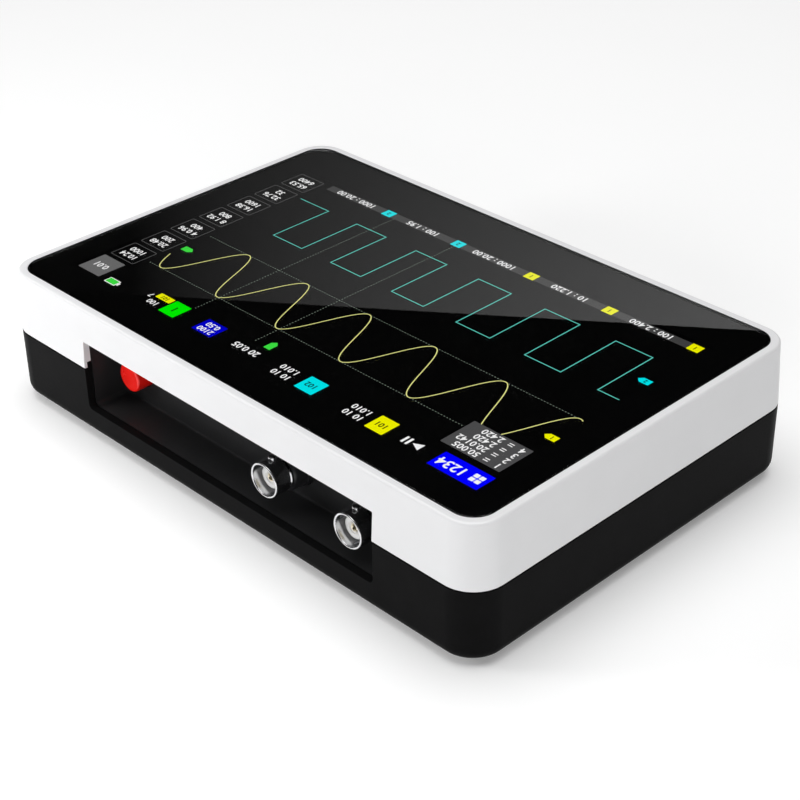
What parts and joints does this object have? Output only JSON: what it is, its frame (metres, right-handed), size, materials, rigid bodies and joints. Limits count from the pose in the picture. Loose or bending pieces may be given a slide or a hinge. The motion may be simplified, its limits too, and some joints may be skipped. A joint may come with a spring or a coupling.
{
  "type": "handheld oscilloscope",
  "caption": "Flat tablet-style test instrument: a glass-fronted screen in a light upper case over a dark lower case, with coaxial jacks and a push button in a recess along one edge.",
  "frame": {"origin": "middle of the footprint, on the surface that the four feet stand on", "axes": "+X to the right as the screen is read, along the long side; +Y towards the connector recess; +Z out of the screen, through the thickness"},
  "size_m": [0.18, 0.12, 0.04],
  "materials": {
    "white_case": "satin moulded",
    "black_case": "fine moulded texture",
    "bezel_black": "satin moulded",
    "foot_rubber": "matte",
    "screen_glass": "polished",
    "gasket_foam": "matte foam",
    "lcd_black": "polished",
    "sheet_steel": "brushed",
    "nickel_plate": "bright plated",
    "jack_plastic": "satin moulded",
    "jack_insulator": "smooth",
    "gold_plate": "plated",
    "button_red": "glossy moulded",
    "pale_plastic": "moulded",
    "board_green": "solder mask",
    "chip_epoxy": "moulded epoxy",
    "tinned_steel": "tinned",
    "ferrite_grey": "matte",
    "flex_film": "film",
    "battery_wrap": "shrink wrap",
    "wire_red": "extruded",
    "wire_black": "extruded"
  },
  "bodies": {
    "body": {"backlight_tray": "sheet_steel", "battery_lead_black": "wire_black", "battery_lead_red": "wire_red", "battery_pack": "battery_wrap", "battery_plug": "pale_plastic", "board_screw_1": "sheet_steel", "board_screw_2": "sheet_steel", "board_screw_3": "sheet_steel", "board_screw_4": "sheet_steel", "bracket_screw_1": "sheet_steel", "bracket_screw_2": "sheet_steel", "bracket_screw_3": "sheet_steel", "bracket_screw_4": "sheet_steel", "case_screw_1": "sheet_steel", "case_screw_2": "sheet_steel", "case_screw_3": "sheet_steel", "case_screw_4": "sheet_steel", "charger_board": "board_green", "charger_header": "chip_epoxy", "clock_crystal": "tinned_steel", "converter_1": "chip_epoxy", "converter_2": "chip_epoxy", "cover_glass": "screen_glass", "display_bracket": "sheet_steel", "display_ribbon": "flex_film", "display_socket": "pale_plastic", "foot_1": "foot_rubber", "foot_2": "foot_rubber", "foot_3": "foot_rubber", "foot_4": "foot_rubber", "glass_gasket": "gasket_foam", "jack_contact_1": "gold_plate", "jack_contact_2": "gold_plate", "jack_housing_1": "jack_plastic", "jack_housing_2": "jack_plastic", "jack_insulator_1": "jack_insulator", "jack_insulator_2": "jack_insulator", "jack_shell_1": "nickel_plate", "jack_shell_2": "nickel_plate", "lcd_panel": "lcd_black", "logic_array": "chip_epoxy", "lower_casing": "black_case", "main_board": "board_green", "memory_chip": "chip_epoxy", "port_bezel": "bezel_black", "power_inductor": "ferrite_grey", "processor": "chip_epoxy", "relay_1": "pale_plastic", "relay_2": "pale_plastic", "shield_can_1": "tinned_steel", "shield_can_2": "tinned_steel", "switch_body": "chip_epoxy", "touch_ribbon": "flex_film", "touch_socket": "pale_plastic", "upper_casing": "white_case", "usb_socket": "sheet_steel", "usb_tongue": "chip_epoxy"},
    "button": {"power_button": "button_red", "switch_stem": "pale_plastic"}
  },
  "joints": [
    {"name": "power_button_press", "type": "slide", "parent": "body", "child": "button", "axis": [0, -1, 0], "range_m": [0, 0.0015], "stiffness_N_per_m": 900, "springref_m": -0.001}
  ]
}
